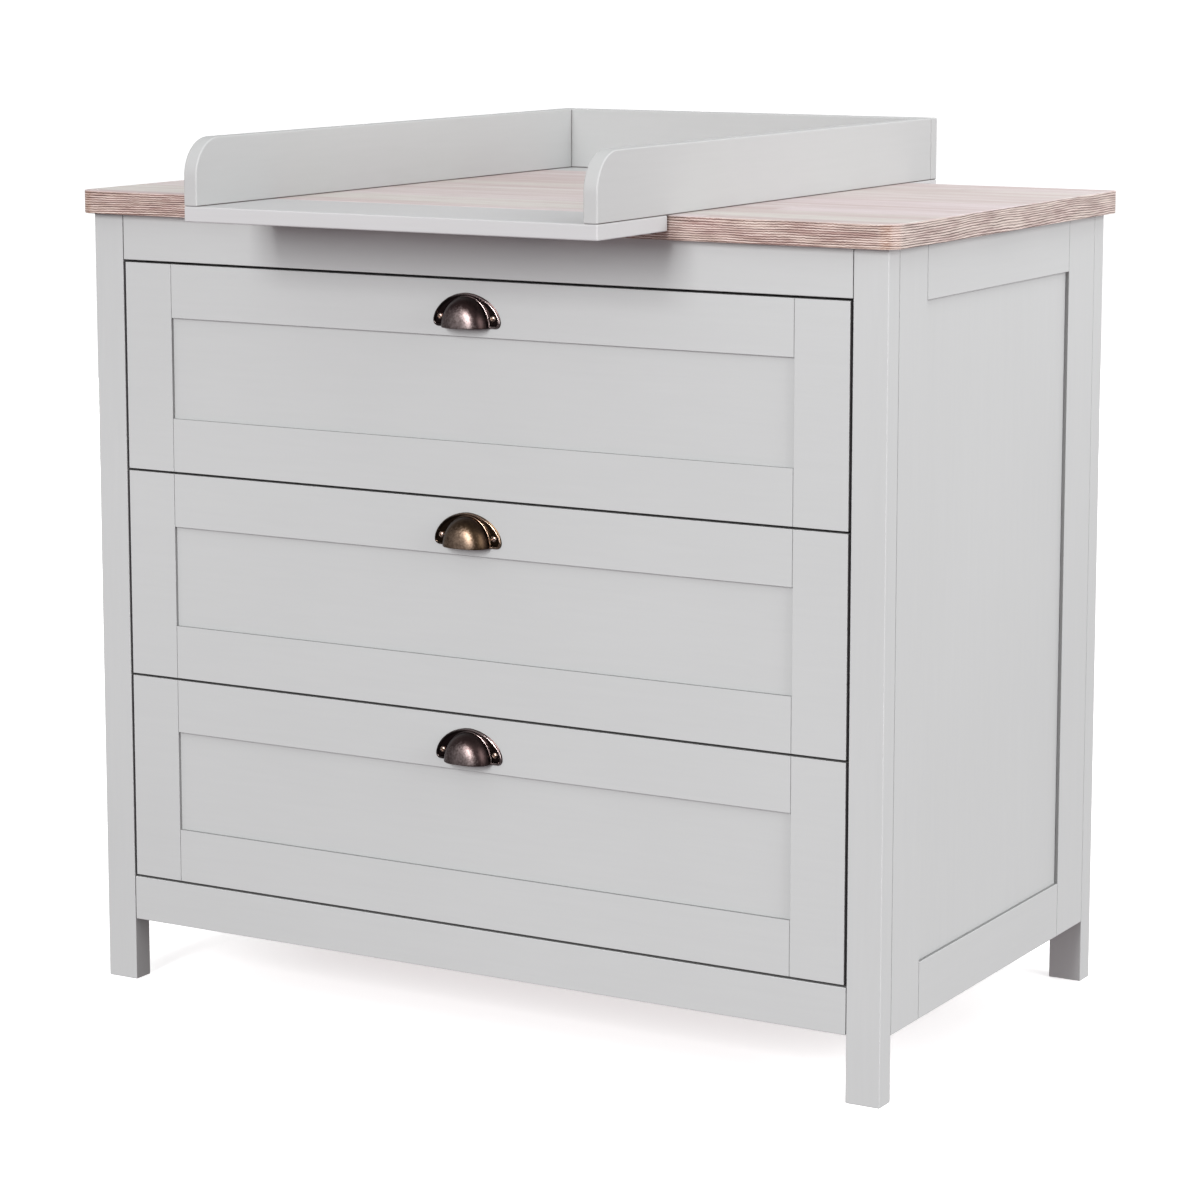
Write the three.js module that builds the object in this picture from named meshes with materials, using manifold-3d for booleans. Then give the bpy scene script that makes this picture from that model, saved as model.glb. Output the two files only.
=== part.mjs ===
// Three-drawer nursery chest with a lift-off changing tray on its worktop.
//
// Millimetres, +Z up, the front towards -Y. Inside this file X = 0 is the middle of the chest, Y = 0 is
// the front face of the legs and Z = 0 is the floor; the last lines move the origin to the middle of the
// whole object's footprint. Every size is a multiple of a quarter of a millimetre, so that boards which
// touch share exactly the same face.
import * as THREE from "three";
import { mergeVertices } from "three/addons/utils/BufferGeometryUtils.js";
import Module from "manifold-3d";

const wasm = await Module();
wasm.setup();

// ---- Driving dimensions -------------------------------------------------------------------------

// Carcass
const CARCASS_W = 960; // over the legs
const CARCASS_D = 545; // front face of the front legs to rear face of the rear legs
const CARCASS_H = 860; // floor to the underside of the worktop
const LEG_W = 38; // seen from the front
const LEG_D = 25; // seen from the side
const JOINT = 0.5; // open joint line between two painted members
const RAIL_T = 20; // thickness of every rail

// Side frames
const STILE_FRONT_END = 90; // where the front stile ends, measured from the front of the legs
const STILE_REAR_START = 450; // where the rear stile begins
const FRAME_BOTTOM = 69; // height of the side frame's lower edge
const SIDE_BOTTOM_RAIL_H = 60;
const SIDE_TOP_RAIL_H = 57;
const PANEL_T = 8;
const PANEL_RECESS = 4.5; // the field lies this far behind the face of the frame
const GROOVE_D = 8; // depth of each panel groove
const FIT = 0.25; // clearance on each side of a panel in its groove
const PANEL_PLAY = 0.5; // room left beyond a panel's edge in its groove

// Front and rear rails
const FRONT_RAIL_BOTTOM = 70;
const FRONT_RAIL_TOP = 119.25;
const HEAD_RAIL_BOTTOM = 810.25;

// Back panel, in grooves of the rear legs
const BACK_T = 4;
const BACK_SETBACK = 10.5; // from the rear face of the legs to the rear face of the panel

// Worktop
const TOP_T = 25;
const TOP_OVERHANG = 13; // beyond the legs at the front and at both sides
const TOP_REAR_OVERHANG = 1;
const TOP_CORNER_R = 20; // the two front corners

// Drawers
const SIDE_GAP = 3; // between a drawer front and the legs
const LEVEL_GAP = 2.5; // above and below each drawer front
const FRONT_H = 227;
const FRONT_T = 18;
const FRONT_STILE_W = 60.5;
const FRONT_FRAME_H = 58.25;
const FIELD_DEPTH = 4; // how far the field of a front is set back
const SCORE_W = 0.75; // width and depth of the score lines where stiles meet rails
const BOX_T = 12; // sides and back of the drawer box
const BOX_H = 150;
const BOX_D = 452; // length of the drawer sides
const BOX_RAISE = 20.25; // underside of the box above the lower edge of its front
const BOX_BACK_DROP = 10; // the back is this much lower than the sides
const BOTTOM_T = 5;
const BOTTOM_RAISE = 12; // groove above the underside of the drawer sides
const BOTTOM_GROOVE_D = 6;

// Runners: a channel on the chest and a smaller channel on the drawer
const RUNNER_SPACE = 12.75; // between the chest and the drawer side
const RUNNER_T = 1.25;
const RUNNER_OUTER_H = 35;
const RUNNER_OUTER_D = 9.5;
const RUNNER_INNER_H = 26;
const RUNNER_INNER_D = 9.25;
const RUNNER_OUTER_L = 458;
const RUNNER_INNER_L = 448;
const RUNNER_START = 22; // from the front of the legs
const RUNNER_RAISE = 75.25; // middle of the runner above the lower edge of the drawer front

// Cup pulls
const PULL_W = 81.5; // over the flange
const PULL_FLANGE_H = 36;
const PULL_FLANGE_T = 2;
const PULL_EAR_R = 6; // lower corners of the flange
const PULL_TOP_MARGIN = 12.75; // from the top of the drawer front to the top of the flange
const CUP_HALF_W = 28.5;
const CUP_REACH = 21;
const CUP_H = 31;
const CUP_WALL = 1.75;
const SCREW_SPACING = 64;
const SCREW_RAISE = 10.5; // above the lower edge of the flange
const SCREW_HEAD_R = 3.25;
const SCREW_HEAD_H = 1.5;
const SCREW_SHANK_R = 1.5;
const SCREW_SHANK_L = 15;
const SCREW_HOLE_R = 1.85;
const SCREW_HOLE_EXTRA = 1; // a pilot hole is this much deeper than its screw

// Changing tray
const TRAY_BOARD_T = 16;
const TRAY_W = 489;
const TRAY_FRONT = -155;
const TRAY_REAR = 620;
const TRAY_WALL_H = 70;
const TRAY_CORNER_R = 40; // upper front corners of the side walls
const TRAY_HOOK_GAP = 2.5; // between the worktop's edges and the boards that hook round them

// ---- Derived places -----------------------------------------------------------------------------

const HALF_W = CARCASS_W / 2;
const LEG_INNER = HALF_W - LEG_W;
const TOP_Z = CARCASS_H + TOP_T;
const TOP_HALF_W = HALF_W + TOP_OVERHANG;
const TOP_REAR = CARCASS_D + TOP_REAR_OVERHANG;
const FRONT_HALF_W = LEG_INNER - SIDE_GAP;
const FIELD_HALF_W = FRONT_HALF_W - FRONT_STILE_W;
const BOX_OUTER = LEG_INNER - RUNNER_SPACE;
const BOX_INNER = BOX_OUTER - BOX_T;
const BOX_REAR = FRONT_T + BOX_D;
const TRAY_HALF_W = TRAY_W / 2;

// ---- Finishes -----------------------------------------------------------------------------------

const finish = (color, roughness, metalness) =>
  new THREE.MeshStandardMaterial({ color, roughness, metalness });
const paint = () => finish(0xcbcaca, 0.5, 0);
const oakLaminate = () => finish(0xd9cac7, 0.45, 0);
const whiteBoard = () => finish(0xe6e4e0, 0.55, 0);
const steel = () => finish(0xb9bcc0, 0.35, 0.9);
const pewter = () => finish(0x3c3533, 0.3, 0.9);
const nickel = () => finish(0x8f857c, 0.3, 0.9);

// ---- Helpers ------------------------------------------------------------------------------------

const UP_AXIS = new THREE.Vector3(0, 0, 1);
const SIDES = [
  ["left", -1],
  ["right", 1],
];

function named(name, material, geometry) {
  const mesh = new THREE.Mesh(geometry, material);
  mesh.name = name;
  return mesh;
}

// A board between two corners, given as [low, high] along each axis.
function board(name, material, xs, ys, zs) {
  const mesh = named(name, material, boxGeometry(xs, ys, zs));
  mesh.position.set((xs[0] + xs[1]) / 2, (ys[0] + ys[1]) / 2, (zs[0] + zs[1]) / 2);
  return mesh;
}

function boxGeometry(xs, ys, zs) {
  return new THREE.BoxGeometry(xs[1] - xs[0], ys[1] - ys[0], zs[1] - zs[0]);
}

// The span between two distances from the middle, on the side given by sign.
const mirrored = (sign, near, far) => (sign > 0 ? [near, far] : [-far, -near]);

function shapeOf(points) {
  return new THREE.Shape(points.map(([x, y]) => new THREE.Vector2(x, y)));
}

function extruded(name, material, shape, depth, curveSegments = 12) {
  const options = { depth, bevelEnabled: false, curveSegments };
  return named(name, material, new THREE.ExtrudeGeometry(shape, options));
}

// A section drawn in X and Y, run upwards.
function alongZ(name, material, shape, [from, to]) {
  const mesh = extruded(name, material, shape, to - from);
  mesh.position.z = from;
  return mesh;
}

// A section drawn in X and Z, run from front to back.
function alongY(name, material, shape, [from, to]) {
  const mesh = extruded(name, material, shape, to - from);
  mesh.rotation.x = Math.PI / 2;
  mesh.position.y = to;
  return mesh;
}

// A section drawn in Y and Z, run from left to right.
function alongX(name, material, shape, [from, to]) {
  const mesh = extruded(name, material, shape, to - from);
  const axes = new THREE.Matrix4().makeBasis(
    new THREE.Vector3(0, 1, 0),
    UP_AXIS,
    new THREE.Vector3(1, 0, 0),
  );
  mesh.quaternion.setFromRotationMatrix(axes);
  mesh.position.x = from;
  return mesh;
}

// The solid that a mesh's geometry encloses, at the mesh's own place.
function solid(mesh) {
  mesh.updateMatrix();
  const geometry = mesh.geometry.clone().applyMatrix4(mesh.matrix);
  geometry.deleteAttribute("normal");
  geometry.deleteAttribute("uv");
  const merged = mergeVertices(geometry);
  return new wasm.Manifold(
    new wasm.Mesh({
      numProp: 3,
      vertProperties: new Float32Array(merged.attributes.position.array),
      triVerts: new Uint32Array(merged.index.array),
    }),
  );
}

function fromSolid(name, material, body) {
  const { vertProperties, triVerts } = body.getMesh();
  const geometry = new THREE.BufferGeometry();
  geometry.setAttribute("position", new THREE.BufferAttribute(vertProperties, 3));
  geometry.setIndex(new THREE.BufferAttribute(triVerts, 1));
  geometry.computeVertexNormals();
  return named(name, material, geometry);
}

const tool = (xs, ys, zs) => solid(board("tool", undefined, xs, ys, zs));

// ---- Carcass ------------------------------------------------------------------------------------

function frontLeg(side, sign) {
  const name = `front_leg_${side}`;
  return board(name, paint(), mirrored(sign, LEG_INNER, HALF_W), [0, LEG_D], [0, CARCASS_H]);
}

// A rear leg has a groove in its inner face for the back panel.
function rearLeg(side, sign) {
  const xs = mirrored(sign, LEG_INNER, HALF_W);
  const post = tool(xs, [CARCASS_D - LEG_D, CARCASS_D], [0, CARCASS_H]);
  const rear = CARCASS_D - BACK_SETBACK + FIT;
  const groove = tool(
    mirrored(sign, LEG_INNER - GROOVE_D, LEG_INNER + GROOVE_D),
    [rear - BACK_T - 2 * FIT, rear],
    [FRONT_RAIL_TOP, CARCASS_H + GROOVE_D],
  );
  return fromSolid(`rear_leg_${side}`, paint(), post.subtract(groove));
}

// A frame member's section: a rectangle with the panel groove cut into its far edge. a runs through the
// thickness, b runs across the member's width and ends at the grooved edge.
function groovedSection(sign, inner, b0, b1) {
  const grooveFar = HALF_W - PANEL_RECESS + FIT;
  const grooveNear = grooveFar - PANEL_T - 2 * FIT;
  const bed = b1 + Math.sign(b0 - b1) * GROOVE_D;
  const outline = [
    [inner, b0],
    [HALF_W, b0],
    [HALF_W, b1],
    [grooveFar, b1],
    [grooveFar, bed],
    [grooveNear, bed],
    [grooveNear, b1],
    [inner, b1],
  ];
  return shapeOf(outline.map(([a, b]) => [sign * a, b]));
}

// One side of the chest: two posts that also carry the runners, two rails and a field in grooves.
function sideFrame(side, sign) {
  const postHeight = [FRAME_BOTTOM, CARCASS_H];
  const railSpan = [STILE_FRONT_END + JOINT, STILE_REAR_START - JOINT];
  const frontStile = groovedSection(sign, LEG_INNER, LEG_D + JOINT, STILE_FRONT_END);
  const rearEdge = CARCASS_D - LEG_D - JOINT;
  const rearStile = groovedSection(sign, LEG_INNER, rearEdge, STILE_REAR_START);
  const fieldBottom = FRAME_BOTTOM + SIDE_BOTTOM_RAIL_H;
  const fieldTop = CARCASS_H - SIDE_TOP_RAIL_H;
  const railInner = HALF_W - RAIL_T;
  const bottomRail = groovedSection(sign, railInner, FRAME_BOTTOM, fieldBottom);
  const topRail = groovedSection(sign, railInner, CARCASS_H, fieldTop);
  const tongue = GROOVE_D - PANEL_PLAY;
  const panelFace = HALF_W - PANEL_RECESS;
  return [
    alongZ(`side_stile_front_${side}`, paint(), frontStile, postHeight),
    alongZ(`side_stile_rear_${side}`, paint(), rearStile, postHeight),
    alongY(`side_rail_bottom_${side}`, paint(), bottomRail, railSpan),
    alongY(`side_rail_top_${side}`, paint(), topRail, railSpan),
    board(
      `side_panel_${side}`,
      paint(),
      mirrored(sign, panelFace - PANEL_T, panelFace),
      [STILE_FRONT_END - tongue, STILE_REAR_START + tongue],
      [fieldBottom - tongue, fieldTop + tongue],
    ),
  ];
}

function crossMembers() {
  const railSpan = [-LEG_INNER + JOINT, LEG_INNER - JOINT];
  const lowRail = [FRONT_RAIL_BOTTOM, FRONT_RAIL_TOP];
  const backHalfW = LEG_INNER + GROOVE_D - PANEL_PLAY;
  const backRear = CARCASS_D - BACK_SETBACK;
  return [
    board("front_rail_top", paint(), railSpan, [0, RAIL_T], [HEAD_RAIL_BOTTOM, CARCASS_H]),
    board("front_rail_bottom", paint(), railSpan, [0, RAIL_T], lowRail),
    board("rear_rail_bottom", paint(), railSpan, [CARCASS_D - RAIL_T, CARCASS_D], lowRail),
    board(
      "back_panel",
      whiteBoard(),
      [-backHalfW, backHalfW],
      [backRear - BACK_T, backRear],
      [FRONT_RAIL_TOP + JOINT, CARCASS_H - JOINT],
    ),
  ];
}

// The worktop's outline has square rear corners and rounded front corners.
function worktop() {
  const front = -TOP_OVERHANG;
  const arcX = TOP_HALF_W - TOP_CORNER_R;
  const arcY = front + TOP_CORNER_R;
  const outline = new THREE.Shape();
  outline.moveTo(TOP_HALF_W, TOP_REAR);
  outline.lineTo(-TOP_HALF_W, TOP_REAR);
  outline.absarc(-arcX, arcY, TOP_CORNER_R, Math.PI, 1.5 * Math.PI, false);
  outline.absarc(arcX, arcY, TOP_CORNER_R, 1.5 * Math.PI, 2 * Math.PI, false);
  outline.closePath();
  return alongZ("worktop", oakLaminate(), outline, [CARCASS_H, TOP_Z]);
}

// ---- Runners ------------------------------------------------------------------------------------

// A channel section in X and Z, open towards its far side. Its web starts at x and its flanges reach
// depth away from it, in the direction given by way.
function channel(x, way, depth, height, z) {
  const half = height / 2;
  const inside = half - RUNNER_T;
  return shapeOf([
    [x, z - half],
    [x + way * depth, z - half],
    [x + way * depth, z - inside],
    [x + way * RUNNER_T, z - inside],
    [x + way * RUNNER_T, z + inside],
    [x + way * depth, z + inside],
    [x + way * depth, z + half],
    [x, z + half],
  ]);
}

function chestRunner(side, sign, drawer, frontBottom) {
  const z = frontBottom + RUNNER_RAISE;
  const section = channel(sign * LEG_INNER, -sign, RUNNER_OUTER_D, RUNNER_OUTER_H, z);
  const span = [RUNNER_START, RUNNER_START + RUNNER_OUTER_L];
  return alongY(`runner_chest_${drawer}_${side}`, steel(), section, span);
}

function drawerRunner(side, sign, drawer) {
  const section = channel(sign * BOX_OUTER, sign, RUNNER_INNER_D, RUNNER_INNER_H, RUNNER_RAISE);
  const span = [RUNNER_START, RUNNER_START + RUNNER_INNER_L];
  return alongY(`runner_drawer_${drawer}_${side}`, steel(), section, span);
}

// ---- Cup pulls ----------------------------------------------------------------------------------

const PULL_BOTTOM = FRONT_H - PULL_TOP_MARGIN - PULL_FLANGE_H;
const SCREW_Z = PULL_BOTTOM + SCREW_RAISE;

// A cylinder that lies along Y between two depths.
function pin(radius, x, [y0, y1], z, segments) {
  const geometry = new THREE.CylinderGeometry(radius, radius, y1 - y0, segments);
  const mesh = named("pin", undefined, geometry);
  mesh.position.set(x, (y0 + y1) / 2, z);
  return solid(mesh);
}

function ellipsoid(halfW, reach, height, z) {
  const mesh = named("ellipsoid", undefined, new THREE.SphereGeometry(1, 28, 16));
  mesh.rotation.x = Math.PI / 2;
  mesh.scale.set(halfW, height, reach);
  mesh.position.z = z;
  return solid(mesh);
}

// A half-moon flange with rounded lower corners.
function flangeOutline() {
  const halfW = PULL_W / 2;
  const shape = new THREE.Shape();
  const low = PULL_BOTTOM + PULL_EAR_R;
  shape.moveTo(halfW - PULL_EAR_R, PULL_BOTTOM);
  shape.absarc(halfW - PULL_EAR_R, low, PULL_EAR_R, 1.5 * Math.PI, 2 * Math.PI, false);
  shape.absellipse(0, low, halfW, PULL_FLANGE_H - PULL_EAR_R, 0, Math.PI, false, 0);
  shape.absarc(PULL_EAR_R - halfW, low, PULL_EAR_R, Math.PI, 1.5 * Math.PI, false);
  shape.closePath();
  return shape;
}

// The pull is a quarter of a hollow ellipsoid that opens downwards, on a flat flange.
function cupPull(drawer) {
  const flange = solid(alongY("flange", undefined, flangeOutline(), [-PULL_FLANGE_T, 0]));
  const keep = tool(
    [-PULL_W, PULL_W],
    [-2 * CUP_REACH, 0],
    [PULL_BOTTOM, PULL_BOTTOM + 2 * PULL_FLANGE_H],
  );
  const outer = ellipsoid(CUP_HALF_W, CUP_REACH, CUP_H, PULL_BOTTOM).intersect(keep);
  const inner = ellipsoid(
    CUP_HALF_W - CUP_WALL,
    CUP_REACH - CUP_WALL,
    CUP_H - CUP_WALL,
    PULL_BOTTOM,
  );
  let body = flange.add(outer).subtract(inner);
  for (const [, sign] of SIDES) {
    const x = (sign * SCREW_SPACING) / 2;
    body = body.subtract(pin(SCREW_HOLE_R, x, [-2 * PULL_FLANGE_T, PULL_FLANGE_T], SCREW_Z, 12));
  }
  return fromSolid(`cup_pull_${drawer}`, pewter(), body);
}

// A domed wood screw, turned about its own axis with the point towards +Y.
function pullScrew(drawer, side, sign) {
  const headTop = -PULL_FLANGE_T - SCREW_HEAD_H;
  const dome = [0, 1, 2, 3].map((step) => {
    const turn = (step * Math.PI) / 8;
    return [SCREW_HEAD_R * Math.sin(turn), headTop + SCREW_HEAD_H * (1 - Math.cos(turn))];
  });
  const profile = [
    ...dome,
    [SCREW_HEAD_R, -PULL_FLANGE_T],
    [SCREW_SHANK_R, -PULL_FLANGE_T],
    [SCREW_SHANK_R, SCREW_SHANK_L - 2 * SCREW_SHANK_R],
    [0, SCREW_SHANK_L],
  ].map(([r, y]) => new THREE.Vector2(r, y));
  const mesh = named(`pull_screw_${drawer}_${side}`, nickel(), new THREE.LatheGeometry(profile, 12));
  mesh.position.set((sign * SCREW_SPACING) / 2, 0, SCREW_Z);
  return mesh;
}

// ---- Drawers ------------------------------------------------------------------------------------

const GROOVE_LOW = BOX_RAISE + BOTTOM_RAISE;
const GROOVE_HIGH = GROOVE_LOW + BOTTOM_T + 2 * FIT;

// The front is one board: a sunk field, score lines where stiles meet rails, a groove behind for the
// drawer bottom and pilot holes for the pull.
function drawerFront(drawer) {
  let body = tool([-FRONT_HALF_W, FRONT_HALF_W], [0, FRONT_T], [0, FRONT_H]);
  const fieldZ = [FRONT_FRAME_H, FRONT_H - FRONT_FRAME_H];
  body = body.subtract(tool([-FIELD_HALF_W, FIELD_HALF_W], [-FIELD_DEPTH, FIELD_DEPTH], fieldZ));
  const aboveField = [fieldZ[1], FRONT_H + FIELD_DEPTH];
  const belowField = [-FIELD_DEPTH, fieldZ[0]];
  for (const [, sign] of SIDES) {
    const lineX = mirrored(sign, FIELD_HALF_W - SCORE_W, FIELD_HALF_W);
    for (const zs of [aboveField, belowField]) {
      body = body.subtract(tool(lineX, [-SCORE_W, SCORE_W], zs));
    }
    const pilot = [-SCREW_SHANK_R, SCREW_SHANK_L + SCREW_HOLE_EXTRA];
    body = body.subtract(pin(SCREW_HOLE_R, (sign * SCREW_SPACING) / 2, pilot, SCREW_Z, 12));
  }
  const bottomEdge = BOX_INNER + BOTTOM_GROOVE_D;
  const groove = tool(
    [-bottomEdge, bottomEdge],
    [FRONT_T - BOTTOM_GROOVE_D, FRONT_T + BOTTOM_GROOVE_D],
    [GROOVE_LOW, GROOVE_HIGH],
  );
  return fromSolid(`drawer_front_${drawer}`, paint(), body.subtract(groove));
}

// A drawer side has a groove near its lower edge for the drawer bottom.
function drawerSide(drawer, side, sign) {
  const top = BOX_RAISE + BOX_H;
  const section = [
    [BOX_OUTER, BOX_RAISE],
    [BOX_OUTER, top],
    [BOX_INNER, top],
    [BOX_INNER, GROOVE_HIGH],
    [BOX_INNER + BOTTOM_GROOVE_D, GROOVE_HIGH],
    [BOX_INNER + BOTTOM_GROOVE_D, GROOVE_LOW],
    [BOX_INNER, GROOVE_LOW],
    [BOX_INNER, BOX_RAISE],
  ].map(([x, z]) => [sign * x, z]);
  return alongY(`drawer_side_${drawer}_${side}`, whiteBoard(), shapeOf(section), [FRONT_T, BOX_REAR]);
}

function drawerBoards(drawer) {
  const bottomHalfW = BOX_INNER + BOTTOM_GROOVE_D - PANEL_PLAY;
  const backHeight = [GROOVE_HIGH, BOX_RAISE + BOX_H - BOX_BACK_DROP];
  return [
    board(
      `drawer_back_${drawer}`,
      whiteBoard(),
      [-BOX_INNER, BOX_INNER],
      [BOX_REAR - BOX_T, BOX_REAR],
      backHeight,
    ),
    board(
      `drawer_bottom_${drawer}`,
      whiteBoard(),
      [-bottomHalfW, bottomHalfW],
      [FRONT_T - BOTTOM_GROOVE_D + PANEL_PLAY, BOX_REAR],
      [GROOVE_LOW + FIT, GROOVE_HIGH - FIT],
    ),
  ];
}

function makeDrawer(drawer, frontBottom) {
  const group = new THREE.Group();
  group.position.z = frontBottom;
  group.add(drawerFront(drawer), ...drawerBoards(drawer), cupPull(drawer));
  for (const [side, sign] of SIDES) {
    group.add(
      drawerSide(drawer, side, sign),
      drawerRunner(side, sign, drawer),
      pullScrew(drawer, side, sign),
    );
  }
  return group;
}

// ---- Changing tray ------------------------------------------------------------------------------

// A side wall's outline in Y and Z, with its upper front corner rounded.
function trayWall(side, sign) {
  const top = TOP_Z + TRAY_WALL_H;
  const rear = TRAY_REAR - TRAY_BOARD_T;
  const shape = new THREE.Shape();
  shape.moveTo(TRAY_FRONT, TOP_Z);
  shape.lineTo(rear, TOP_Z);
  shape.lineTo(rear, top);
  const arc = [TRAY_FRONT + TRAY_CORNER_R, top - TRAY_CORNER_R, TRAY_CORNER_R];
  shape.absarc(...arc, Math.PI / 2, Math.PI, false);
  shape.closePath();
  const xs = mirrored(sign, TRAY_HALF_W - TRAY_BOARD_T, TRAY_HALF_W);
  return alongX(`tray_wall_${side}`, paint(), shape, xs);
}

// The front and rear boards lie level with the worktop and stop the tray from sliding off it.
function makeTray() {
  const group = new THREE.Group();
  const width = [-TRAY_HALF_W, TRAY_HALF_W];
  const level = [TOP_Z - TRAY_BOARD_T, TOP_Z];
  const frontBoardRear = -TOP_OVERHANG - TRAY_HOOK_GAP;
  const rearBoardFront = TOP_REAR + TRAY_HOOK_GAP;
  group.add(
    board("tray_board_front", paint(), width, [TRAY_FRONT, frontBoardRear], level),
    board("tray_board_rear", paint(), width, [rearBoardFront, TRAY_REAR], level),
    board(
      "tray_wall_back",
      paint(),
      width,
      [TRAY_REAR - TRAY_BOARD_T + JOINT, TRAY_REAR],
      [TOP_Z, TOP_Z + TRAY_WALL_H],
    ),
    ...SIDES.map(([side, sign]) => trayWall(side, sign)),
  );
  return group;
}

// ---- Assembly -----------------------------------------------------------------------------------

const chest = new THREE.Group();
chest.add(...crossMembers(), worktop());
for (const [side, sign] of SIDES) {
  chest.add(frontLeg(side, sign), rearLeg(side, sign), ...sideFrame(side, sign));
}
["bottom", "middle", "top"].forEach((drawer, row) => {
  const frontBottom = FRONT_RAIL_TOP + LEVEL_GAP + row * (FRONT_H + LEVEL_GAP);
  chest.add(makeDrawer(drawer, frontBottom));
  for (const [side, sign] of SIDES) {
    chest.add(chestRunner(side, sign, drawer, frontBottom));
  }
});
chest.add(makeTray());
chest.position.y = -(TRAY_FRONT + TRAY_REAR) / 2;

const changingTable = new THREE.Group();
changingTable.add(chest);

export default changingTable;
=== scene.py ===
"""The looks of a three-drawer nursery chest with a lift-off changing tray.

Metres, +Z up, front towards -Y. The painted boards, the worktop, the drawer boxes and the runners are the
frame's own nodes with better materials, and most have eased edges. The drawer fronts, cup pulls and screws
are rebuilt here as finer meshes in the same places.
"""

import math

import bmesh
import bpy
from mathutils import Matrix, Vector


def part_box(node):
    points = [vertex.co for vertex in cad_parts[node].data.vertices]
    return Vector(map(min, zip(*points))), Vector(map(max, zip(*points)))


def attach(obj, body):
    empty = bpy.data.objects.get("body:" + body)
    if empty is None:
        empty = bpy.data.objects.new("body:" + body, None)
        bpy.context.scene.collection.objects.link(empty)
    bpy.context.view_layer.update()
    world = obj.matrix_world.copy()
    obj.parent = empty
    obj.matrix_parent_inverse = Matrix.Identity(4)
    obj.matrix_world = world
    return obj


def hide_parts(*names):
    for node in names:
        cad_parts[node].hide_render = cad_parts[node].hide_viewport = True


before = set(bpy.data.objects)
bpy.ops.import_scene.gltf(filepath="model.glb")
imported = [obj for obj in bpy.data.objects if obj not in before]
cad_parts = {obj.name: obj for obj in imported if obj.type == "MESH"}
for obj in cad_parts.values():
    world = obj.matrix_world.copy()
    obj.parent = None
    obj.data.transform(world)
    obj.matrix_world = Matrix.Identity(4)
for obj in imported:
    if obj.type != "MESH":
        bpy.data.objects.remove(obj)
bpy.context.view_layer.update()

MM = 0.001
DRAWERS = ("bottom", "middle", "top")
SIDES = ("left", "right")

WELD = 0.01 * MM  # points closer than this are one point
TOP_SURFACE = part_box("worktop")[1].z
BAND_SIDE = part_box("worktop")[1].x
FRONT_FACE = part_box("drawer_front_top")[0].y
WALL_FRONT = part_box("tray_wall_left")[0].y
WALL_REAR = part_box("tray_wall_left")[1].y
CUP_REACH = 21.0 * MM  # how far a pull's cup stands out of the drawer front

# ---- Camera, floor and light --------------------------------------------------------------------

CAMERA_PLACE = (1.983, -3.402, 1.154)
CAMERA_PITCH = 8.44  # degrees below the horizon
CAMERA_YAW = 29.93  # degrees to the left of straight ahead
CAMERA_LENS = 109.0  # millimetres, on a sensor 36 wide
CAMERA_SHIFT = -0.10  # of the frame's width

BACKDROP = (1.25, 1.25, 1.25, 1.0)  # what the camera sees past the object
FAR_WALL = (0.70, 0.70, 0.70, 1.0)  # what gloss shows of the room behind
SKY_LOW = (0.25, 0.25, 0.25, 1.0)  # the even light from all round, at the horizon
SKY_HIGH = (0.90, 0.90, 0.90, 1.0)  # and from straight above
GROUND = (0.385, 0.32, 0.34, 1.0)  # the light that comes back up from the room's floor
STUDIO = (0.20, 0.20, 0.205, 1.0)  # what polished metal shows of the room in front, between the lamps
STUDIO_FLOOR = (0.07, 0.065, 0.07, 1.0)  # and of its floor
FLOOR_SIZE = 60.0
FLOOR_GLOW = 0.45  # it is lit through from below, as a light table is
ROOM_TURN = (-0.25, 0.20)  # from front to rear, where gloss goes over from the studio to the far wall

# Each softbox: its place, the point it faces, its two sizes, and its light on white there, where 1 is
# full white.
KEY_LAMP = ((0.1, -6.95, 2.95), (0, -0.3, 0.85), (1.9, 2.9), 0.85)
SIDE_LAMP = ((6.6, -0.55, 2.55), (0.3, 0, 0.6), (5.0, 4.1), 0.88)
OVERHEAD_LAMP = ((0.75, 0.36, 1.6), (0.1, 0.1, 0.9), (0.6, 0.6), 0.26)
REAR_LAMP = ((-3.6, 4.4, 1.3), (-0.1, 0.1, 0.55), (3.0, 2.0), 0.75)


def make_camera():
    data = bpy.data.cameras.new("camera")
    data.sensor_width = 36
    data.lens = CAMERA_LENS
    data.shift_y = CAMERA_SHIFT
    data.clip_end = 200
    camera = bpy.data.objects.new("camera", data)
    camera.location = CAMERA_PLACE
    camera.rotation_euler = (math.radians(90 - CAMERA_PITCH), 0, math.radians(CAMERA_YAW))
    bpy.context.scene.collection.objects.link(camera)
    bpy.context.scene.camera = camera


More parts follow.
